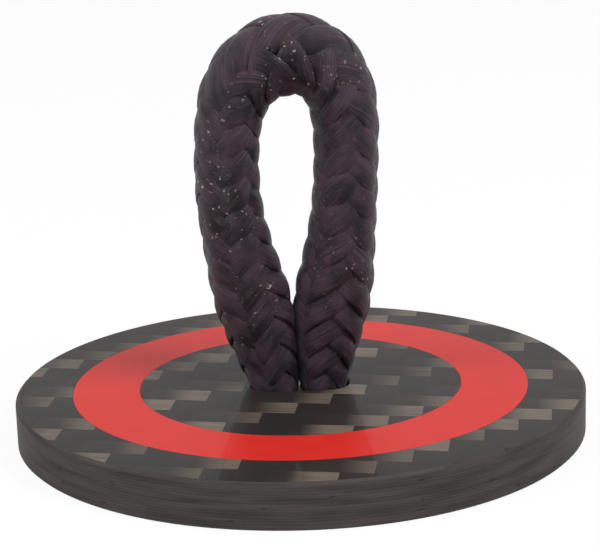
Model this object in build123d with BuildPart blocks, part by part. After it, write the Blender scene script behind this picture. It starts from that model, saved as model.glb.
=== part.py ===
from build123d import *
import math
import os

# Soft-loop pad eye: a round carbon laminate plate with an inlaid ring and a standing
# loop of hollow twelve-strand rope that is caught under the plate on a cross pin.
# Millimetres, +Z up, origin at the centre of the plate's bonding face.

# --- plate ---
plate_diameter = 60.0
plate_thickness = 4.8
rim_break = 0.3              # small chamfer on the two outer edges

# --- ring inlay ---
ring_outer_diameter = 48.0
ring_inner_diameter = 34.0
ring_depth = 1.0
ring_gap = 0.03              # bond line at each side of the ring

# --- rope ---
rope_diameter = 6.8          # over the buried tail
tail_diameter = 4.2          # the rope's own end, buried inside its cover
tail_gap = 0.05
neck_diameter = 4.7          # bare cover of one leg where it enters the plate
rope_gap = 0.15              # rope to the wall of the throat

# --- throat, from the rope's neck ---
throat_width = neck_diameter + 2 * rope_gap
throat_length = 2 * neck_diameter + 4 * rope_gap
mouth_radius = 0.6

# --- pocket on the underside ---
pocket_length = 16.0
pocket_width = 11.0
pocket_depth = 3.2

# --- cross pin ---
pin_diameter = 2.0
pin_length = 18.0
pin_gap = 0.05
pin_height = pocket_depth - pin_gap - pin_diameter / 2

# --- lean hinge, which stands for the rope bending at the mouth ---
hinge_rise = 2.1             # hinge axis above the plate
hinge_height = plate_thickness + hinge_rise
barrel_diameter = neck_diameter - 0.3
barrel_length = throat_length - 1.4
running_gap = 0.3            # barrel to the rope root below it
root_cover = 0.3             # resin under the rope root
resin_gap = 0.03

# --- rope route from the right of the throat over the crown to the left: (x, height above
# the plate). The loop stands a little off centre and its left leg bows out more. ---
loop_points = [
    (2.35, -0.8), (3.0, 5.7), (4.4, 13.2), (5.4, 21.2), (5.6, 30.9), (2.5, 35.05),
    (-2.6, 35.05), (-6.45, 31.1), (-7.1, 21.2), (-5.75, 13.2), (-3.75, 5.7), (-2.45, -0.8),
]
taper_overlap = 1.0          # the tapered neck runs this far into the full tube
taper_step = 0.1             # and is this much slimmer there
tail_start = 3.6             # how far up the leg's second run the buried tail begins


def lifted(point):
    """A point of the route, raised from the plate's face to the part's own frame."""
    return Vector(point[0], point[1] + plate_thickness)


def moved_towards(point, target, distance):
    return point + (target - point).normalized() * distance


def flat(point):
    """A route point as the two numbers of the loop's own plane."""
    return (point.X, point.Y)


def bend_radii(points):
    """The largest tangent arc that each corner's two runs allow."""
    radii = []
    for before, corner, after in zip(points, points[1:], points[2:]):
        run_in = corner - before
        run_out = after - corner
        half_turn = math.radians(run_in.get_angle(run_out)) / 2
        shorter = min(run_in.length, run_out.length)
        radii.append(0.45 * shorter / math.tan(half_turn))
    return radii


def start_plane(line):
    return Plane(origin=line @ 0, z_dir=line % 0)


os.makedirs("parts", exist_ok=True)

# === base plate: carbon laminate, bonded down by its flat underside ===
with BuildPart() as base_plate:
    with BuildSketch():
        Circle(plate_diameter / 2)
        SlotOverall(throat_length, throat_width, mode=Mode.SUBTRACT)
    extrude(amount=plate_thickness)
    top_face = base_plate.faces().sort_by(Axis.Z)[-1]
    fillet(top_face.inner_wires()[0].edges(), radius=mouth_radius)
    rim_edges = base_plate.edges().filter_by(
        lambda edge: edge.geom_type == GeomType.CIRCLE and abs(edge.radius - plate_diameter / 2) < 0.001
    )
    chamfer(rim_edges, length=rim_break)
    with BuildSketch(Plane.XY.offset(plate_thickness)):
        Circle(ring_outer_diameter / 2 + ring_gap)
        Circle(ring_inner_diameter / 2 - ring_gap, mode=Mode.SUBTRACT)
    extrude(amount=-ring_depth, mode=Mode.SUBTRACT)
    with BuildSketch():
        SlotOverall(pocket_length, pocket_width)
        Rectangle(pin_diameter + 2 * pin_gap, pin_length + 2 * pin_gap)
    extrude(amount=pocket_depth, mode=Mode.SUBTRACT)
base_plate.part.label = "base_plate"
export_step(base_plate.part, "parts/base_plate.step")

# === ring inlay: sits on the floor of its groove, flush with the top ===
with BuildPart() as ring_inlay:
    with BuildSketch(Plane.XY.offset(plate_thickness - ring_depth)):
        Circle(ring_outer_diameter / 2)
        Circle(ring_inner_diameter / 2, mode=Mode.SUBTRACT)
    extrude(amount=ring_depth)
ring_inlay.part.label = "ring_inlay"
export_step(ring_inlay.part, "parts/ring_inlay.step")

# === retaining pin: lies along Y under the throat, in the rope's bight ===
with BuildPart() as retaining_pin:
    with BuildSketch(Plane.XZ.offset(-pin_length / 2)):
        with Locations((0, pin_height)):
            Circle(pin_diameter / 2)
    extrude(amount=pin_length)
    chamfer(retaining_pin.edges().filter_by(GeomType.CIRCLE), length=0.2)
retaining_pin.part.label = "retaining_pin"
export_step(retaining_pin.part, "parts/retaining_pin.step")

# === rope root: the bight pressed flat round the pin, up into the throat ===
root_length = 2 * neck_diameter
root_top = hinge_height - barrel_diameter / 2 - running_gap
with BuildPart() as rope_root:
    with BuildSketch(Plane.XY.offset(root_cover)):
        SlotOverall(root_length, neck_diameter)
    extrude(amount=root_top - root_cover)
    with BuildSketch(Plane.XZ.offset(-pin_length / 2)):
        with Locations((0, pin_height)):
            Circle(pin_diameter / 2 + pin_gap)
    extrude(amount=pin_length, mode=Mode.SUBTRACT)
rope_root.part.label = "rope_root"
export_step(rope_root.part, "parts/rope_root.step")

# === potting plug: resin that fills the pocket flush with the bonding face ===
with BuildPart() as potting_plug:
    with BuildSketch():
        SlotOverall(pocket_length - 2 * resin_gap, pocket_width - 2 * resin_gap)
        Rectangle(pin_diameter, pin_length)
    extrude(amount=pocket_depth)
    with BuildSketch(Plane.XY.offset(root_cover - resin_gap)):
        SlotOverall(root_length + 2 * resin_gap, neck_diameter + 2 * resin_gap)
    extrude(amount=pocket_depth, mode=Mode.SUBTRACT)
    with BuildSketch(Plane.XZ.offset(-pin_length / 2 - pin_gap)):
        with Locations((0, pin_height)):
            Circle(pin_diameter / 2 + resin_gap)
    extrude(amount=pin_length + 2 * pin_gap, mode=Mode.SUBTRACT)
potting_plug.part.label = "potting_plug"
export_step(potting_plug.part, "parts/potting_plug.step")

# === loop: one rope, from the mouth up the right leg, over the crown and down the left ===
loop_route = [lifted(point) for point in loop_points]
cover_route = loop_route[1:-1]
tail_route = [
    moved_towards(cover_route[0], cover_route[1], tail_start),
    *cover_route[1:-1],
    moved_towards(cover_route[-1], cover_route[-2], tail_start),
]

with BuildLine(Plane.XZ) as cover_line:
    FilletPolyline(*map(flat, cover_route), radius=bend_radii(cover_route))
with BuildLine(Plane.XZ) as tail_line:
    FilletPolyline(*map(flat, tail_route), radius=bend_radii(tail_route))

with BuildPart() as loop_cover:
    with BuildSketch(start_plane(cover_line.line)):
        Circle(rope_diameter / 2)
    sweep(path=cover_line.line)
    tube_volume = loop_cover.part.volume
    for low, high in ((loop_route[0], loop_route[1]), (loop_route[-1], loop_route[-2])):
        hinge_share = (hinge_height - low.Y) / (high.Y - low.Y)
        foot = Vector(low.X + (high.X - low.X) * hinge_share, 0, hinge_height)
        join = Vector(high.X, 0, high.Y)
        axis = (join - foot).normalized()
        with BuildSketch(Plane(origin=foot, z_dir=axis)):
            Circle(neck_diameter / 2)
        with BuildSketch(Plane(origin=join + axis * taper_overlap, z_dir=axis)):
            Circle(rope_diameter / 2 - taper_step)
        loft()
    with BuildSketch(Plane.YZ.offset(-barrel_length / 2)):
        with Locations((0, hinge_height)):
            Circle(barrel_diameter / 2)
    extrude(amount=barrel_length)
    with BuildSketch(start_plane(tail_line.line)):
        Circle(tail_diameter / 2 + tail_gap)
    sweep(path=tail_line.line, mode=Mode.SUBTRACT)
loop_cover.part.label = "loop_cover"
export_step(loop_cover.part, "parts/loop_cover.step")

with BuildPart() as loop_core:
    with BuildSketch(start_plane(tail_line.line)):
        Circle(tail_diameter / 2)
    sweep(path=tail_line.line)
loop_core.part.label = "loop_core"
export_step(loop_core.part, "parts/loop_core.step")

tube_section = math.pi * rope_diameter**2 / 4
tube_length = sum(edge.length for edge in cover_line.line.edges())
print("bend radii:", [round(radius, 1) for radius in bend_radii(cover_route)])
print("tube length:", round(tube_length, 2))
print("tube volume / (section x length):", round(tube_volume / (tube_section * tube_length), 4))
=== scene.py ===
# %% [markdown]
# A soft-loop pad eye. It is a round plate of carbon fibre laminate with a red ring let into
# its face. A loop of braided rope stands up from the middle of the plate and is the eye.
# The plate, the ring and the parts under the rope come from the construction frame, which
# is in metres with +Z up out of the deck. The rope is made here, strand by strand.

# %% Load the frame
import math

import bpy
from mathutils import Matrix, Vector


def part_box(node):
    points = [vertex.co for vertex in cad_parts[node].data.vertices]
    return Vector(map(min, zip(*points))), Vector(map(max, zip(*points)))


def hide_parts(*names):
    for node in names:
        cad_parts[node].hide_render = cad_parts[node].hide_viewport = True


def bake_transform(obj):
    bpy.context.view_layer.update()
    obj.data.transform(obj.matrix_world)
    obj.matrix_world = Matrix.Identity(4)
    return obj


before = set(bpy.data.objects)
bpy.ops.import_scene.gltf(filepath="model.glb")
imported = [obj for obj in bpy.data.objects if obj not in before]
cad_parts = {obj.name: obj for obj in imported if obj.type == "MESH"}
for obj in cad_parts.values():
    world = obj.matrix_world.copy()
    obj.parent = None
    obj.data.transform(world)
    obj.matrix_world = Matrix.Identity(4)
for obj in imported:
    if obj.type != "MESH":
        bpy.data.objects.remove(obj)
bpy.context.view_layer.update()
MM = 0.001
plate_low, plate_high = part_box("base_plate")
plate_top = plate_high[2]

# %% [markdown]
# The camera stands in front of the plate and a little above it, on a long lens, so the
# round plate reads as a flat ellipse. It aims between the plate and the top of the loop,
# and it is rolled by under two degrees, so the plate doesn't sit quite level in the frame.

# %% Camera
CAMERA_ELEVATION = math.radians(17.85)
CAMERA_DISTANCE = 0.2123
CAMERA_PITCH = math.radians(14.75)
CAMERA_YAW = math.radians(0.09)
CAMERA_ROLL = math.radians(-1.765)
CAMERA_LENS = 119.9

camera_data = bpy.data.cameras.new("camera")
camera = bpy.data.objects.new("camera", camera_data)
bpy.context.scene.collection.objects.link(camera)
camera_data.lens = CAMERA_LENS
camera_data.sensor_width = 36.0
camera_data.clip_start = 0.01
camera_place = Vector((
    0.0,
    -math.cos(CAMERA_ELEVATION) * CAMERA_DISTANCE,
    plate_top + math.sin(CAMERA_ELEVATION) * CAMERA_DISTANCE,
))
forward = Vector((
    math.sin(CAMERA_YAW) * math.cos(CAMERA_PITCH),
    math.cos(CAMERA_YAW) * math.cos(CAMERA_PITCH),
    -math.sin(CAMERA_PITCH),
))
level_right = forward.cross(Vector((0, 0, 1))).normalized()
level_up = level_right.cross(forward)
right = math.cos(CAMERA_ROLL) * level_right + math.sin(CAMERA_ROLL) * level_up
upward = -math.sin(CAMERA_ROLL) * level_right + math.cos(CAMERA_ROLL) * level_up
turn = Matrix((right, upward, -forward)).transposed()
camera.matrix_world = Matrix.Translation(camera_place) @ turn.to_4x4()
bpy.context.scene.camera = camera
print("camera at", [round(value, 4) for value in camera_place])

# %% [markdown]
# Colours are written as the hex values a painter would pick. The renderer works in
# linear light, so one function turns them. One more function adds any node, of a shader or
# of a geometry tree, with its settings and its links, which keeps every material short.

# %% Colour and node helpers
def linear(hex_colour):
    """An sRGB hex colour as linear red, green, blue and alpha."""
    values = [int(hex_colour[place:place + 2], 16) / 255 for place in (1, 3, 5)]
    return [v / 12.92 if v <= 0.04045 else ((v + 0.055) / 1.055) ** 2.4 for v in values] + [1.0]


def set_inputs(tree, node, inputs):
    """Fills a node's inputs: a row of values, or a map from a socket's name or number to one.

    A value can be a socket to link from. A node as a value stands for its first output.
    """
    for place, value in inputs.items() if isinstance(inputs, dict) else enumerate(inputs):
        if isinstance(value, bpy.types.Node):
            value = value.outputs[0]
        if isinstance(value, bpy.types.NodeSocket):
            tree.links.new(value, node.inputs[place])
        else:
            node.inputs[place].default_value = value


def add_node(tree, kind, inputs=(), **settings):
    """Adds a node with its settings, its values and its links."""
    node = tree.nodes.new(kind)
    for name, value in settings.items():
        setattr(node, name, value)
    set_inputs(tree, node, inputs)
    return node


def new_material(name):
    """An empty material, its tree and its Principled shader."""
    material = bpy.data.materials.new(name)
    material.use_nodes = True
    return material, material.node_tree, material.node_tree.nodes["Principled BSDF"]


def finish_node(node_name, material):
    """Gives a node of the frame its material."""
    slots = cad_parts[node_name].data.materials
    slots.clear()
    slots.append(material)


print("helpers ready")

# %% [markdown]
# The loop's route is the line down the middle of the rope: out of the throat, apart to the
# widest place, and round the crown. It is a smooth NURBS curve through a few listed
# points, the same ones the construction uses, because a rope has no corners. Each point is
# its place across the loop and its height above the plate, in millimetres.

# %% Rope route
route_points = [
    (2.35, -0.8), (3.0, 5.7), (4.4, 13.2), (5.4, 21.2), (5.6, 30.9), (2.5, 35.05),
    (-2.6, 35.05), (-6.45, 31.1), (-7.1, 21.2), (-5.75, 13.2), (-3.75, 5.7), (-2.45, -0.8),
]

route_curve = bpy.data.curves.new("loop_route", "CURVE")
route_curve.dimensions = "3D"
route_curve.resolution_u = 24
route_spline = route_curve.splines.new("NURBS")
route_spline.points.add(len(route_points) - 1)
for point, (x, z) in zip(route_spline.points, route_points):
    point.co = (x * MM, 0.0, plate_top + z * MM, 1.0)
route_spline.order_u = 3
route_spline.use_endpoint_u = True
route = bpy.data.objects.new("loop_route", route_curve)
bpy.context.scene.collection.objects.link(route)
route_mesh = bpy.data.meshes.new_from_object(route)
path = [vertex.co.copy() for vertex in route_mesh.vertices]
rope_length = sum((b - a).length for a, b in zip(path, path[1:]))
print("rope from throat to throat:", round(rope_length / MM, 2), "mm in", len(path), "points")

# %% [markdown]
# The rope is a hollow twelve-strand plait. Six strands wind one way and six the other, and
# each passes over two and under two. Worked out on paper, a strand is high or low only by
# where it is round the rope, so its radius is a sine of three waves a turn, and the strands
# of the other hand take the opposite sine. That makes the columns of V's seen on such rope.
# Geometry Nodes follow that rule exactly. Modelling the strands by hand would take hours,
# and a bump pattern on a tube would have a smooth outline.

# %% Rope sizes
ROPE_RADIUS = 3.5 * MM           # over the strands, on the legs
PICK = 3.1 * MM                  # from one V to the next along the rope
STRANDS_PER_HAND = 6
STRAND_THICKNESS = 1.05 * MM
STRAND_WIDTH = 2.95 * MM
WEAVE_DEPTH = 0.24 * MM          # how far a strand rises and dips
STEPS_ALONG = 230                # rings of points along a strand
SECTION_POINTS = 16              # points round a strand
YARNS_SHOWN = 4                  # yarns that show across a strand
YARN_DEPTH = 0.05                # how far a yarn stands out, as a share of the strand

# Half width across the loop and half depth through it, against the share of the way from
# the throat (0) to the crown (1). The rope is pinched in the throat and bunched on top.
ACROSS = [
    (0.0, 0.7), (0.04, 0.76), (0.09, 0.9), (0.16, 1.05), (0.27, 1.2), (0.36, 1.12),
    (0.5, 1.0), (0.72, 0.99), (0.82, 1.06), (1.0, 1.25),
]
THROUGH = [(0.0, 0.74), (0.05, 0.8), (0.22, 0.92), (0.34, 1.0), (0.72, 1.0), (1.0, 1.02)]
print("strands:", 2 * STRANDS_PER_HAND, "turn of a strand:", PICK / MM * STRANDS_PER_HAND, "mm")

# %% Rope tree: inputs
rope_tree = bpy.data.node_groups.new("twelve_strand_rope", "GeometryNodeTree")
sockets = rope_tree.interface
sockets.new_socket("Geometry", in_out="INPUT", socket_type="NodeSocketGeometry")
sockets.new_socket("Geometry", in_out="OUTPUT", socket_type="NodeSocketGeometry")
for name in ("Rope Radius", "Pick", "Strand Thickness", "Strand Width", "Weave Depth", "Rope Length"):
    sockets.new_socket(name, in_out="INPUT", socket_type="NodeSocketFloat")
sockets.new_socket("Strands", in_out="INPUT", socket_type="NodeSocketInt")
sockets.new_socket("Steps", in_out="INPUT", socket_type="NodeSocketInt")
sockets.new_socket("Material", in_out="INPUT", socket_type="NodeSocketMaterial")
group_in = add_node(rope_tree, "NodeGroupInput").outputs
print("rope tree has", len(group_in) - 1, "inputs")

# %% Rope tree: one line for each strand
one_line = add_node(rope_tree, "GeometryNodeCurvePrimitiveLine")
line = add_node(rope_tree, "GeometryNodeResampleCurve", {"Curve": one_line, "Count": group_in["Steps"]})
strand_count = add_node(rope_tree, "ShaderNodeMath", (group_in["Strands"], 2.0), operation="MULTIPLY")
copies = add_node(rope_tree, "GeometryNodeDuplicateElements", {
    "Geometry": line, "Amount": strand_count}, domain="SPLINE")
numbered = add_node(rope_tree, "GeometryNodeStoreNamedAttribute", {
    "Geometry": copies, "Name": "strand", "Value": copies.outputs["Duplicate Index"],
}, data_type="FLOAT", domain="CURVE")
number = add_node(rope_tree, "GeometryNodeInputNamedAttribute", {"Name": "strand"}, data_type="FLOAT")
odd = add_node(rope_tree, "ShaderNodeMath", (number, 2.0), operation="MODULO")
hand = add_node(rope_tree, "ShaderNodeMath", (odd, 2.0, -1.0), operation="MULTIPLY_ADD")
half_number = add_node(rope_tree, "ShaderNodeMath", (number, 2.0), operation="DIVIDE")
place = add_node(rope_tree, "ShaderNodeMath", (half_number,), operation="FLOOR")
print("even strands wind one way and odd strands the other")

# %% Rope tree: how far round and how far out a strand is
share = add_node(rope_tree, "GeometryNodeSplineParameter")
distance = add_node(rope_tree, "ShaderNodeMath", (share, group_in["Rope Length"]), operation="MULTIPLY")
strand_turn = add_node(
    rope_tree, "ShaderNodeMath", (group_in["Pick"], group_in["Strands"]), operation="MULTIPLY")
turns = add_node(rope_tree, "ShaderNodeMath", (distance, strand_turn), operation="DIVIDE")
turned = add_node(rope_tree, "ShaderNodeMath", (turns, math.tau), operation="MULTIPLY")
start_angle = add_node(
    rope_tree, "ShaderNodeMath", (place, math.tau / STRANDS_PER_HAND), operation="MULTIPLY")
angle = add_node(rope_tree, "ShaderNodeMath", (turned, hand, start_angle), operation="MULTIPLY_ADD")
wave_angle = add_node(
    rope_tree, "ShaderNodeMath", (angle, STRANDS_PER_HAND / 2, math.pi / 4), operation="MULTIPLY_ADD")
wave = add_node(rope_tree, "ShaderNodeMath", (wave_angle,), operation="SINE")
signed_wave = add_node(rope_tree, "ShaderNodeMath", (wave, hand), operation="MULTIPLY")
rise = add_node(rope_tree, "ShaderNodeMath", (signed_wave, group_in["Weave Depth"]), operation="MULTIPLY")
strand_depth = add_node(rope_tree, "ShaderNodeMath", (
    group_in["Strand Thickness"], 0.5, group_in["Weave Depth"]), operation="MULTIPLY_ADD")
middle_radius = add_node(
    rope_tree, "ShaderNodeMath", (group_in["Rope Radius"], strand_depth), operation="SUBTRACT")
radius = add_node(rope_tree, "ShaderNodeMath", (middle_radius, rise), operation="ADD")
print("strands rise and dip", round(WEAVE_DEPTH / MM, 2), "mm")

# %% Rope tree: width and depth along the loop
centred_share = add_node(rope_tree, "ShaderNodeMath", (share, 2.0, -1.0), operation="MULTIPLY_ADD")
from_crown = add_node(rope_tree, "ShaderNodeMath", (centred_share,), operation="ABSOLUTE")
from_ends = add_node(rope_tree, "ShaderNodeMath", (1.0, from_crown), operation="SUBTRACT")
tables = []
for table_points in (ACROSS, THROUGH):
    table = add_node(rope_tree, "ShaderNodeFloatCurve", {"Value": from_ends})
    table.mapping.clip_max_y = 2.0
    curve_points = table.mapping.curves[0].points
    while len(curve_points) < len(table_points):
        curve_points.new(0.5, 0.5)
    for curve_point, table_point in zip(curve_points, table_points):
        curve_point.location = table_point
    table.mapping.update()
    tables.append(table)
across, through = tables
print("rope widths set at", len(ACROSS), "places")

# %% [markdown]
# The strands need a frame that doesn't twist as it goes round the loop. The loop is flat,
# so the direction through the eye is always the same, and the third direction is square to
# that and to the rope's own.

# %% Rope tree: strands round the route
on_route = add_node(rope_tree, "GeometryNodeSampleCurve", {
    "Curves": group_in["Geometry"], "Factor": share}, mode="FACTOR", use_all_curves=True)
through_eye = add_node(rope_tree, "FunctionNodeInputVector", vector=(0, 1, 0))
square_to_both = add_node(rope_tree, "ShaderNodeVectorMath", (
    through_eye, on_route.outputs["Tangent"]), operation="CROSS_PRODUCT")
outwards = add_node(rope_tree, "ShaderNodeVectorMath", (square_to_both,), operation="NORMALIZE")
cosine = add_node(rope_tree, "ShaderNodeMath", (angle,), operation="COSINE")
sine = add_node(rope_tree, "ShaderNodeMath", (angle,), operation="SINE")
side_share = add_node(rope_tree, "ShaderNodeMath", (cosine, across), operation="MULTIPLY")
eye_share = add_node(rope_tree, "ShaderNodeMath", (sine, through), operation="MULTIPLY")
side_part = add_node(
    rope_tree, "ShaderNodeVectorMath", {0: outwards, "Scale": side_share}, operation="SCALE")
eye_part = add_node(
    rope_tree, "ShaderNodeVectorMath", {0: through_eye, "Scale": eye_share}, operation="SCALE")
spoke = add_node(rope_tree, "ShaderNodeVectorMath", (side_part, eye_part), operation="ADD")
from_centre = add_node(rope_tree, "ShaderNodeVectorMath", {0: spoke, "Scale": radius}, operation="SCALE")
strand_place = add_node(rope_tree, "ShaderNodeVectorMath", (
    on_route.outputs["Position"], from_centre), operation="ADD")
placed = add_node(rope_tree, "GeometryNodeSetPosition", {"Geometry": numbered, "Position": strand_place})
steered = add_node(rope_tree, "GeometryNodeSetCurveNormal", {"Curve": placed, "Normal": spoke}, mode="FREE")
both_sizes = add_node(rope_tree, "ShaderNodeMath", (across, through), operation="ADD")
swell = add_node(rope_tree, "ShaderNodeMath", (both_sizes, 0.5), operation="MULTIPLY")
sized = add_node(rope_tree, "GeometryNodeSetCurveRadius", {"Curve": steered, "Radius": swell})
measured = add_node(rope_tree, "GeometryNodeStoreNamedAttribute", {
    "Geometry": sized, "Name": "along", "Value": distance}, data_type="FLOAT", domain="POINT")
print("strands follow the route")

# %% Rope tree: section of one strand
ring = add_node(rope_tree, "GeometryNodeCurvePrimitiveCircle", {"Resolution": SECTION_POINTS, "Radius": 0.5})
ring_share = add_node(rope_tree, "GeometryNodeSplineParameter")
yarn_angle = add_node(rope_tree, "ShaderNodeMath", (ring_share, math.tau * YARNS_SHOWN), operation="MULTIPLY")
yarn_wave = add_node(rope_tree, "ShaderNodeMath", (yarn_angle,), operation="COSINE")
yarn_size = add_node(rope_tree, "ShaderNodeMath", (yarn_wave, YARN_DEPTH, 1.0), operation="MULTIPLY_ADD")
section_size = add_node(rope_tree, "ShaderNodeCombineXYZ", (
    group_in["Strand Thickness"], group_in["Strand Width"], 1.0))
ring_place = add_node(rope_tree, "GeometryNodeInputPosition")
oval_place = add_node(rope_tree, "ShaderNodeVectorMath", (ring_place, section_size), operation="MULTIPLY")
yarn_place = add_node(
    rope_tree, "ShaderNodeVectorMath", {0: oval_place, "Scale": yarn_size}, operation="SCALE")
section = add_node(rope_tree, "GeometryNodeSetPosition", {"Geometry": ring, "Position": yarn_place})
marked = add_node(rope_tree, "GeometryNodeStoreNamedAttribute", {
    "Geometry": section, "Name": "around", "Value": ring_share}, data_type="FLOAT", domain="POINT")
print("a strand's section has", SECTION_POINTS, "points")

# %% Rope tree: strands as a mesh
strands = add_node(rope_tree, "GeometryNodeCurveToMesh", {
    "Curve": measured, "Profile Curve": marked, "Fill Caps": True})
if "Scale" in strands.inputs:
    set_inputs(rope_tree, strands, {"Scale": add_node(rope_tree, "GeometryNodeInputRadius")})
smooth = add_node(rope_tree, "GeometryNodeSetShadeSmooth", {"Geometry": strands})
whole = add_node(rope_tree, "GeometryNodeRealizeInstances", {"Geometry": smooth})
clad = add_node(rope_tree, "GeometryNodeSetMaterial", {"Geometry": whole, "Material": group_in["Material"]})
add_node(rope_tree, "NodeGroupOutput", (clad,))
print("rope tree has", len(rope_tree.nodes), "nodes")

# %% [markdown]
# The rope's fibre is high-modulus polyethylene with a black polyurethane coating. The coat
# soaks into the fibres and dries almost black with a brown and violet cast. It leaves a
# soft sheen along each yarn. Small bright glints are painted into its colour in a few
# patches, as painted highlights.

# %% Coated rope material
STREAK_LENGTH = 2.86 * MM        # light and dark runs along the fibres
STREAKS_ROUND_STRAND = 55.0      # drawn coarser than the filaments, which are too fine to show
BLOTCH = 2.38 * MM               # where the coating soaked in more or less
GLINT_SPECK = 0.435 * MM               # size of the painted glints, which are painted highlights
GLINT_PATCH = 7.7 * MM            # patches where the painted glints show
FIBRE_RELIEF = 0.25 * MM


def coated_rope(name, dark, pale, sheen, painted_glint_strength):
    """Braid of coated fibre. The last argument sets how strongly the painted glints, painted highlights,
    show.
    """
    material, tree, shader = new_material(name)
    along = add_node(tree, "ShaderNodeAttribute", attribute_name="along").outputs["Fac"]
    around = add_node(tree, "ShaderNodeAttribute", attribute_name="around").outputs["Fac"]
    place = add_node(tree, "ShaderNodeTexCoord").outputs["Object"]
    streak_run = add_node(tree, "ShaderNodeMath", (along, 1 / STREAK_LENGTH), operation="MULTIPLY")
    streak_number = add_node(tree, "ShaderNodeMath", (around, STREAKS_ROUND_STRAND), operation="MULTIPLY")
    fibre_map = add_node(tree, "ShaderNodeCombineXYZ", (streak_run, streak_number))
    fibres = add_node(tree, "ShaderNodeTexNoise", {
        "Vector": fibre_map, "Scale": 1.0, "Detail": 3.0, "Roughness": 0.6})
    blotches = add_node(tree, "ShaderNodeTexNoise", {"Vector": place, "Scale": 1 / BLOTCH, "Detail": 2.0})
    soaked = add_node(tree, "ShaderNodeMath", (fibres, blotches), operation="MULTIPLY")
    tone = add_node(tree, "ShaderNodeMapRange", {"Value": soaked, "From Min": 0.18, "From Max": 0.34})
    coated = add_node(tree, "ShaderNodeMix", {
        0: tone, 6: linear(dark), 7: linear(pale)}, data_type="RGBA").outputs[2]

    # Painted highlight: small bright glints are painted into the colour, only inside a few patches.
    specks = add_node(tree, "ShaderNodeTexNoise", {"Vector": place, "Scale": 1 / GLINT_SPECK, "Detail": 1.0})
    patches = add_node(tree, "ShaderNodeTexNoise", {"Vector": place, "Scale": 1 / GLINT_PATCH, "Detail": 1.0})
    glint_speck = add_node(tree, "ShaderNodeMapRange", {"Value": specks, "From Min": 0.67, "From Max": 0.76})
    glint_patch = add_node(tree, "ShaderNodeMapRange", {"Value": patches, "From Min": 0.5, "From Max": 0.62})
    glint = add_node(tree, "ShaderNodeMath", (glint_speck, glint_patch), operation="MULTIPLY")
    glint_share = add_node(tree, "ShaderNodeMath", (glint, painted_glint_strength), operation="MULTIPLY")
    colour = add_node(tree, "ShaderNodeMix", {
        0: glint_share, 6: coated, 7: linear("#a89c8c")}, data_type="RGBA").outputs[2]

    dullness = add_node(tree, "ShaderNodeMapRange", {
        "Value": blotches, "From Min": 0.35, "From Max": 0.65, "To Min": 0.3, "To Max": 0.6})
    relief = add_node(tree, "ShaderNodeBump", {
        "Height": fibres, "Strength": 0.6, "Distance": FIBRE_RELIEF})
    set_inputs(tree, shader, {
        "Base Color": colour, "Roughness": dullness, "Normal": relief,
        "Specular IOR Level": 0.22, "Sheen Weight": sheen, "Sheen Roughness": 0.4,
    })
    return material


rope_material = coated_rope("black_coated_braid", "#160d14", "#3a2a34", sheen=0.07, painted_glint_strength=0.7)
print("rope material:", rope_material.name)

# %% Build the rope
weave = route.modifiers.new("rope", "NODES")
weave.node_group = rope_tree
rope_inputs = {
    "Rope Radius": ROPE_RADIUS, "Pick": PICK, "Strand Thickness": STRAND_THICKNESS,
    "Strand Width": STRAND_WIDTH, "Weave Depth": WEAVE_DEPTH, "Rope Length": rope_length,
    "Strands": STRANDS_PER_HAND, "Steps": STEPS_ALONG, "Material": rope_material,
}
for item in sockets.items_tree:
    if item.in_out == "INPUT" and item.name in rope_inputs:
        weave[item.identifier] = rope_inputs[item.name]
bpy.context.view_layer.update()
evaluated = route.evaluated_get(bpy.context.evaluated_depsgraph_get())
rope_mesh = bpy.data.meshes.new_from_object(evaluated)
route.modifiers.clear()
bpy.data.objects.remove(route)
bpy.data.meshes.remove(route_mesh)
rope = bpy.data.objects.new("rope_loop", rope_mesh)
bpy.context.scene.collection.objects.link(rope)
print("rope loop:", len(rope_mesh.vertices), "vertices,", len(rope_mesh.polygons), "faces")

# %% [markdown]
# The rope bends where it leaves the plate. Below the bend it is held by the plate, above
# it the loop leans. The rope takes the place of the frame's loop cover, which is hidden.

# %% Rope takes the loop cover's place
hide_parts("loop_cover")
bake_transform(rope)
print("rope declared,", round(rope_length, 4), "m")

# %% [markdown]
# The plate is pressed from twill-woven carbon cloth and clear epoxy. In a two-by-two twill
# each tow passes over two and under two, one step aside in each row, which draws a diagonal
# line. Tows that run across the view catch the light and the others stay dark; that shine is
# painted into the colour as a painted highlight.

# %% Twill: counting tows
# The cloth lies askew on the plate, and its two sets of tows aren't quite square.
WARP = (3.23 * MM, math.radians(-7.9), 3.783)   # width, direction counted in, and the count at X 0, Y 0
WEFT = (3.29 * MM, math.radians(80.0), 5.082)


def tow_count(tree, place, width, direction, start):
    """How many tows of one set lie between the cloth's start and this place."""
    per_x, per_y = math.cos(direction) / width, math.sin(direction) / width
    part = add_node(tree, "ShaderNodeMath", (place.outputs[1], per_y, start), operation="MULTIPLY_ADD")
    return add_node(tree, "ShaderNodeMath", (place.outputs[0], per_x, part), operation="MULTIPLY_ADD")


print("tows", WARP[0] / MM, "and", WEFT[0] / MM, "mm wide")

# %% Twill: streaks and relief of a tow
REPEAT = 4.0                     # tows before the twill starts again: over two, under two
STREAKS_IN_TOW = 20.0            # drawn coarser than the fibres, which are too fine to show
STREAK_STRETCH = 0.45            # a streak runs on for about two tows


def tow_streaks(tree, lengthways, crossways):
    """Fine streaks that run along a tow."""
    run = add_node(tree, "ShaderNodeMath", (lengthways, STREAK_STRETCH), operation="MULTIPLY")
    line_number = add_node(tree, "ShaderNodeMath", (crossways, STREAKS_IN_TOW), operation="MULTIPLY")
    stretched = add_node(tree, "ShaderNodeCombineXYZ", (run, line_number))
    return add_node(tree, "ShaderNodeTexNoise", {"Vector": stretched, "Scale": 1.0, "Detail": 2.0})


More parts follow.
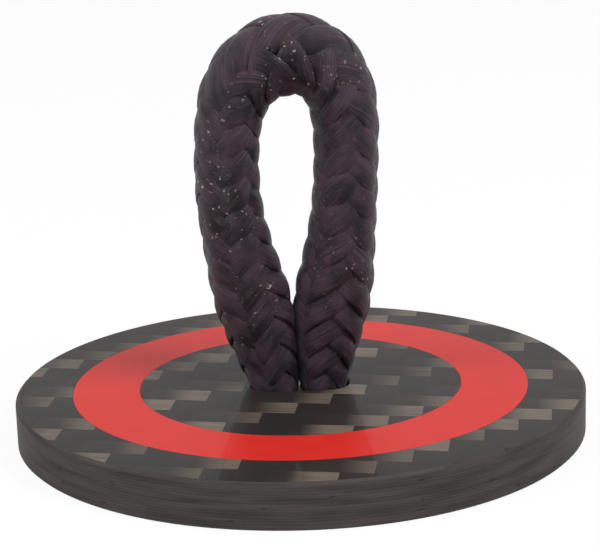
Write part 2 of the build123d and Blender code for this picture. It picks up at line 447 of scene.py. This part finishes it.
def twill_relief(tree, u, v, column, row, weft_place, weft_on_top):
    """How high the tow on top stands, from its place along the float and across the tow."""
    warp_steps = add_node(tree, "ShaderNodeMath", (column, v), operation="SUBTRACT")
    warp_run = add_node(tree, "ShaderNodeMath", (warp_steps, REPEAT), operation="FLOORED_MODULO")
    warp_start = add_node(tree, "ShaderNodeMath", (warp_run, 1.0), operation="SUBTRACT")
    warp_place = add_node(tree, "ShaderNodeMath", (warp_start, 2.0), operation="DIVIDE")
    float_place = add_node(tree, "ShaderNodeMix", {0: weft_on_top, 2: warp_place, 3: weft_place})
    weft_side = add_node(tree, "ShaderNodeMath", (v,), operation="FRACT")
    warp_side = add_node(tree, "ShaderNodeMath", (u,), operation="FRACT")
    tow_side = add_node(tree, "ShaderNodeMix", {0: weft_on_top, 2: warp_side, 3: weft_side})
    float_angle = add_node(tree, "ShaderNodeMath", (float_place, math.pi), operation="MULTIPLY")
    hump = add_node(tree, "ShaderNodeMath", (float_angle,), operation="SINE")
    side_angle = add_node(tree, "ShaderNodeMath", (tow_side, math.pi), operation="MULTIPLY")
    round_side = add_node(tree, "ShaderNodeMath", (side_angle,), operation="SINE")
    crown = add_node(tree, "ShaderNodeMath", (round_side,), operation="SQRT")
    bare_hump = add_node(tree, "ShaderNodeMath", (hump, 0.0), operation="MAXIMUM")
    return add_node(tree, "ShaderNodeMath", (bare_hump, crown), operation="MULTIPLY")


print("twill repeats after", REPEAT, "tows")

# %% Twill: the woven face
CLOUD = 9.1 * MM                 # slow changes of tone over the cloth
WEFT_STEPS = 1.5                 # steps 0 and 1 of the repeat show the weft


def twill_face(tree, object_place):
    """The colour and the relief of the woven face, with the shine of the crossing tows painted in as a
    painted highlight.
    """
    place = add_node(tree, "ShaderNodeSeparateXYZ", (object_place,))
    u, v = tow_count(tree, place, *WARP), tow_count(tree, place, *WEFT)
    column = add_node(tree, "ShaderNodeMath", (u,), operation="FLOOR")
    row = add_node(tree, "ShaderNodeMath", (v,), operation="FLOOR")
    steps = add_node(tree, "ShaderNodeMath", (column, row), operation="SUBTRACT")
    step = add_node(tree, "ShaderNodeMath", (steps, REPEAT), operation="FLOORED_MODULO")
    weft_on_top = add_node(tree, "ShaderNodeMath", (step, WEFT_STEPS), operation="LESS_THAN")
    weft_steps = add_node(tree, "ShaderNodeMath", (u, row), operation="SUBTRACT")
    weft_run = add_node(tree, "ShaderNodeMath", (weft_steps, REPEAT), operation="FLOORED_MODULO")
    weft_place = add_node(tree, "ShaderNodeMath", (weft_run, 2.0), operation="DIVIDE")
    height = twill_relief(tree, u, v, column, row, weft_place, weft_on_top)

    # Painted highlight: the weft floats are painted lighter towards one end, for the light they catch.
    float_number = add_node(tree, "ShaderNodeMath", (steps, REPEAT), operation="DIVIDE")
    whole_number = add_node(tree, "ShaderNodeMath", (float_number,), operation="FLOOR")
    float_name = add_node(tree, "ShaderNodeCombineXYZ", (whole_number, row))
    luck = add_node(tree, "ShaderNodeTexWhiteNoise", {"Vector": float_name}, noise_dimensions="2D")
    shifted_place = add_node(tree, "ShaderNodeMath", (luck, 0.3, weft_place), operation="MULTIPLY_ADD")
    shine_end = add_node(tree, "ShaderNodeMapRange", {
        "Value": shifted_place, "From Min": 0.5, "From Max": 0.95, "To Min": 0.02, "To Max": 1.0})
    streak = add_node(tree, "ShaderNodeMix", {
        0: weft_on_top, 2: tow_streaks(tree, v, u), 3: tow_streaks(tree, u, v)})
    tow_shine = add_node(tree, "ShaderNodeMath", (luck, 0.5, 0.5), operation="MULTIPLY_ADD")
    streak_shine = add_node(tree, "ShaderNodeMath", (streak, 2.6, -0.35), operation="MULTIPLY_ADD")
    shine = shine_end
    for factor in (weft_on_top, tow_shine, streak_shine):
        shine = add_node(tree, "ShaderNodeMath", (shine, factor), operation="MULTIPLY")

    cloud = add_node(tree, "ShaderNodeTexNoise", {"Vector": object_place, "Scale": 1 / CLOUD, "Detail": 2.0})
    cloth = add_node(tree, "ShaderNodeMix", {
        0: cloud, 6: linear("#1f1b1e"), 7: linear("#2f2926")}, data_type="RGBA").outputs[2]
    # Painted highlight: the painted shine lightens the cloth towards this colour.
    colour = add_node(tree, "ShaderNodeMix", {
        0: shine, 6: cloth, 7: linear("#665c52")}, data_type="RGBA").outputs[2]
    return colour, height


print("woven face ready")

# %% [markdown]
# The plate was cut from its sheet with a diamond tool. The cut shows each ply as a thin
# wavering line and opens a few pores, and it isn't polished, so it stays dull. The lines
# come from the height in the plate, bent a little by noise.

# %% Cut edge of the laminate
PLY = 0.3 * MM                   # one cured ply
PLY_WANDER = 1.1                 # plies that a line strays by, as the cut crosses the weave
EDGE_STREAK = (7.7 * MM, 7.7 * MM, 0.667 * MM)
PORE = (1.43 * MM, 1.43 * MM, 0.385 * MM)


def cut_edge(tree, object_place):
    """The colour and the relief of the machined edge, with its plies and a few pores, whose darkness is
    painted shade.
    """
    place = add_node(tree, "ShaderNodeSeparateXYZ", (object_place,))
    streak_map = add_node(tree, "ShaderNodeMapping", {
        "Vector": object_place, "Scale": [1 / size for size in EDGE_STREAK]})
    streaks = add_node(tree, "ShaderNodeTexNoise", {"Vector": streak_map, "Scale": 1.0, "Detail": 4.0})
    layer = add_node(tree, "ShaderNodeMath", (place.outputs[2], PLY), operation="DIVIDE")
    strayed = add_node(tree, "ShaderNodeMath", (streaks, PLY_WANDER, layer), operation="MULTIPLY_ADD")
    ply_angle = add_node(tree, "ShaderNodeMath", (strayed, math.tau), operation="MULTIPLY")
    ply_line = add_node(tree, "ShaderNodeMath", (ply_angle,), operation="SINE")
    tone = add_node(tree, "ShaderNodeMath", (ply_line, 0.07, streaks), operation="MULTIPLY_ADD")
    pore_map = add_node(tree, "ShaderNodeMapping", {
        "Vector": object_place, "Scale": [1 / size for size in PORE]})
    pores = add_node(tree, "ShaderNodeTexNoise", {"Vector": pore_map, "Scale": 1.0, "Detail": 1.0})
    # Painted shade: the pores are real holes in the cut, and their darkness is painted into the colour.
    pore_shade = add_node(tree, "ShaderNodeMapRange", {
        "Value": pores, "From Min": 0.7, "From Max": 0.78, "To Max": 0.6})
    solid = add_node(tree, "ShaderNodeMix", {
        0: tone, 6: linear("#211e1f"), 7: linear("#4f4948")}, data_type="RGBA").outputs[2]
    colour = add_node(tree, "ShaderNodeMix", {
        0: pore_shade, 6: solid, 7: linear("#151314")}, data_type="RGBA").outputs[2]
    return colour, tone


print("about", round((plate_high[2] - plate_low[2]) / PLY), "plies in the edge")

# %% Carbon laminate material
FACE_UP = 0.85                   # a face that looks up more than this is the woven top
TOW_RELIEF = 0.1 * MM


def carbon_laminate():
    material, tree, shader = new_material("carbon_twill_laminate")
    coordinates = add_node(tree, "ShaderNodeTexCoord").outputs
    face_colour, face_height = twill_face(tree, coordinates["Object"])
    edge_colour, edge_height = cut_edge(tree, coordinates["Object"])
    facing = add_node(tree, "ShaderNodeSeparateXYZ", (coordinates["Normal"],))
    on_top = add_node(tree, "ShaderNodeMath", (facing.outputs[2], FACE_UP), operation="GREATER_THAN")
    colour = add_node(tree, "ShaderNodeMix", {
        0: on_top, 6: edge_colour, 7: face_colour}, data_type="RGBA").outputs[2]
    roughness = add_node(tree, "ShaderNodeMix", {0: on_top, 2: 0.55, 3: 0.42})
    coat = add_node(tree, "ShaderNodeMath", (on_top, 0.07, 0.02), operation="MULTIPLY_ADD")
    height = add_node(tree, "ShaderNodeMix", {0: on_top, 2: edge_height, 3: face_height})
    bump = add_node(tree, "ShaderNodeBump", {"Height": height, "Strength": 0.3, "Distance": TOW_RELIEF})
    set_inputs(tree, shader, {
        "Base Color": colour, "Roughness": roughness, "Normal": bump, "Specular IOR Level": 0.04,
        "Coat Weight": coat, "Coat Roughness": 0.04,
    })
    return material


finish_node("base_plate", carbon_laminate())
print("carbon laminate on the base plate")

# %% [markdown]
# The ring is red pigmented epoxy cast into its groove and polished with the plate. Casting
# leaves an almost even colour with a faint cloudiness, under the same clear gloss.

# %% Red ring material
RESIN_CLOUD = 3.85 * MM
POLISH_GRAIN = 0.333 * MM        # drawn coarser than the marks of the polish


def red_resin():
    material, tree, shader = new_material("red_cast_epoxy")
    place = add_node(tree, "ShaderNodeTexCoord").outputs["Object"]
    cloud = add_node(tree, "ShaderNodeTexNoise", {"Vector": place, "Scale": 1 / RESIN_CLOUD, "Detail": 3.0})
    colour = add_node(tree, "ShaderNodeMix", {
        0: cloud, 6: linear("#b8251f"), 7: linear("#c42922")}, data_type="RGBA").outputs[2]
    grain = add_node(tree, "ShaderNodeTexNoise", {"Vector": place, "Scale": 1 / POLISH_GRAIN, "Detail": 1.0})
    bump = add_node(tree, "ShaderNodeBump", {"Height": grain, "Strength": 0.05, "Distance": 0.05 * MM})
    set_inputs(tree, shader, {
        "Base Color": colour, "Normal": bump, "Roughness": 0.4, "Specular IOR Level": 0.04,
        "Coat Weight": 0.09, "Coat Roughness": 0.04,
    })
    return material


finish_node("ring_inlay", red_resin())
print("ring finished")

# %% [markdown]
# Under the plate the pocket is filled with epoxy thickened with filler and sanded flush,
# so it is dull and speckled. The pin is ground stainless steel. The rope's root and the
# tail buried in the loop are the same braid, without the outer coating's gloss.

# %% Filled epoxy material
FILLER_SPECK = 0.556 * MM        # drawn coarser than the grains of filler


def filled_epoxy():
    material, tree, shader = new_material("filled_epoxy_sanded")
    place = add_node(tree, "ShaderNodeTexCoord").outputs["Object"]
    specks = add_node(tree, "ShaderNodeTexNoise", {"Vector": place, "Scale": 1 / FILLER_SPECK, "Detail": 4.0})
    colour = add_node(tree, "ShaderNodeMix", {
        0: specks, 6: linear("#2b2927"), 7: linear("#5a554f")}, data_type="RGBA").outputs[2]
    bump = add_node(tree, "ShaderNodeBump", {"Height": specks, "Strength": 0.3, "Distance": 0.1 * MM})
    set_inputs(tree, shader, {"Base Color": colour, "Normal": bump, "Roughness": 0.7})
    return material


finish_node("potting_plug", filled_epoxy())
print("potting plug finished")

# %% Ground steel material
GRINDING_MARK = (3.33 * MM, 0.111 * MM, 3.33 * MM)


def ground_steel():
    material, tree, shader = new_material("ground_stainless_steel")
    place = add_node(tree, "ShaderNodeTexCoord").outputs["Object"]
    marks = add_node(tree, "ShaderNodeMapping", {
        "Vector": place, "Scale": [1 / size for size in GRINDING_MARK]})
    scratch = add_node(tree, "ShaderNodeTexNoise", {"Vector": marks, "Scale": 1.0})
    dullness = add_node(tree, "ShaderNodeMapRange", {"Value": scratch, "To Min": 0.2, "To Max": 0.45})
    set_inputs(tree, shader, {"Base Color": linear("#b9b8b6"), "Roughness": dullness, "Metallic": 1.0})
    return material


finish_node("retaining_pin", ground_steel())
print("pin finished")

# %% Inner braid
inner_rope = coated_rope("uncoated_inner_braid", "#140f13", "#2b2228", sheen=0.0, painted_glint_strength=0.0)
finish_node("rope_root", inner_rope)
finish_node("loop_core", inner_rope)
print("root and tail finished")

# %% [markdown]
# The stage is a pale floor under soft studio light. Seen by the camera or in a reflection
# the surroundings are white. The light on the object comes from two wide soft boxes and a
# gentle fill, so each colour renders about as it is written.

# %% Rays that see the stage
def seen_directly(tree):
    """1 for the rays that show a thing, straight or in a reflection, and 0 for light on it."""
    rays = add_node(tree, "ShaderNodeLightPath").outputs
    indirect = add_node(
        tree, "ShaderNodeMath", (rays["Is Glossy Ray"], rays["Is Transmission Ray"]), operation="MAXIMUM")
    return add_node(tree, "ShaderNodeMath", (rays["Is Camera Ray"], indirect), operation="MAXIMUM")


print("seen rays told apart from light")

# %% Floor
FLOOR_HALF = 3.0
FLOOR_DROP = 0.02 * MM           # keeps the floor clear of the plate's underside
FLOOR_GLOW = 0.93                # how much of the seen floor is plain white

floor_height = plate_low[2] - FLOOR_DROP
corner_signs = ((-1, -1), (1, -1), (1, 1), (-1, 1))
corners = [(x * FLOOR_HALF, y * FLOOR_HALF, floor_height) for x, y in corner_signs]
floor_mesh = bpy.data.meshes.new("floor")
floor_mesh.from_pydata(corners, [], [(0, 1, 2, 3)])
floor = bpy.data.objects.new("floor", floor_mesh)
bpy.context.scene.collection.objects.link(floor)
floor_material = bpy.data.materials.new("pale_floor")
floor_material.use_nodes = True
floor_tree = floor_material.node_tree
floor_tree.nodes.clear()
glow_share = add_node(
    floor_tree, "ShaderNodeMath", (seen_directly(floor_tree), FLOOR_GLOW), operation="MULTIPLY")
paint = add_node(floor_tree, "ShaderNodeBsdfDiffuse", {"Color": linear("#e9e9e9")})
glow = add_node(floor_tree, "ShaderNodeEmission", {"Strength": 1.0})
floor_mix = add_node(floor_tree, "ShaderNodeMixShader", (glow_share, paint, glow))
add_node(floor_tree, "ShaderNodeOutputMaterial", (floor_mix,))
floor_mesh.materials.append(floor_material)
print("floor", 2 * FLOOR_HALF, "m square")

# %% World
world = bpy.data.worlds.new("studio")
bpy.context.scene.world = world
world.use_nodes = True
world_tree = world.node_tree
world_tree.nodes.clear()
fill_light = add_node(world_tree, "ShaderNodeBackground", {"Color": linear("#ffffff"), "Strength": 0.5})
white = add_node(world_tree, "ShaderNodeBackground", {"Color": linear("#ffffff"), "Strength": 1.0})
world_mix = add_node(world_tree, "ShaderNodeMixShader", (seen_directly(world_tree), fill_light, white))
add_node(world_tree, "ShaderNodeOutputWorld", (world_mix,))
print("world:", world.name)

# %% Soft boxes
loop_middle = Vector((0, 0, 20 * MM))


def soft_box(name, place, size, power):
    """An area lamp that faces the middle of the loop."""
    data = bpy.data.lights.new(name, "AREA")
    data.shape = "RECTANGLE"
    data.size, data.size_y = size
    data.energy = power
    lamp = bpy.data.objects.new(name, data)
    bpy.context.scene.collection.objects.link(lamp)
    lamp.location = place
    aim = loop_middle - Vector(place)
    lamp.rotation_euler = aim.to_track_quat("-Z", "Y").to_euler()


soft_box("key", (0.35, -0.25, 0.45), (0.3, 0.3), 3.2)
soft_box("side", (-0.45, -0.2, 0.3), (0.3, 0.2), 1.6)
bpy.context.scene.view_settings.view_transform = "Standard"
print("two soft boxes")
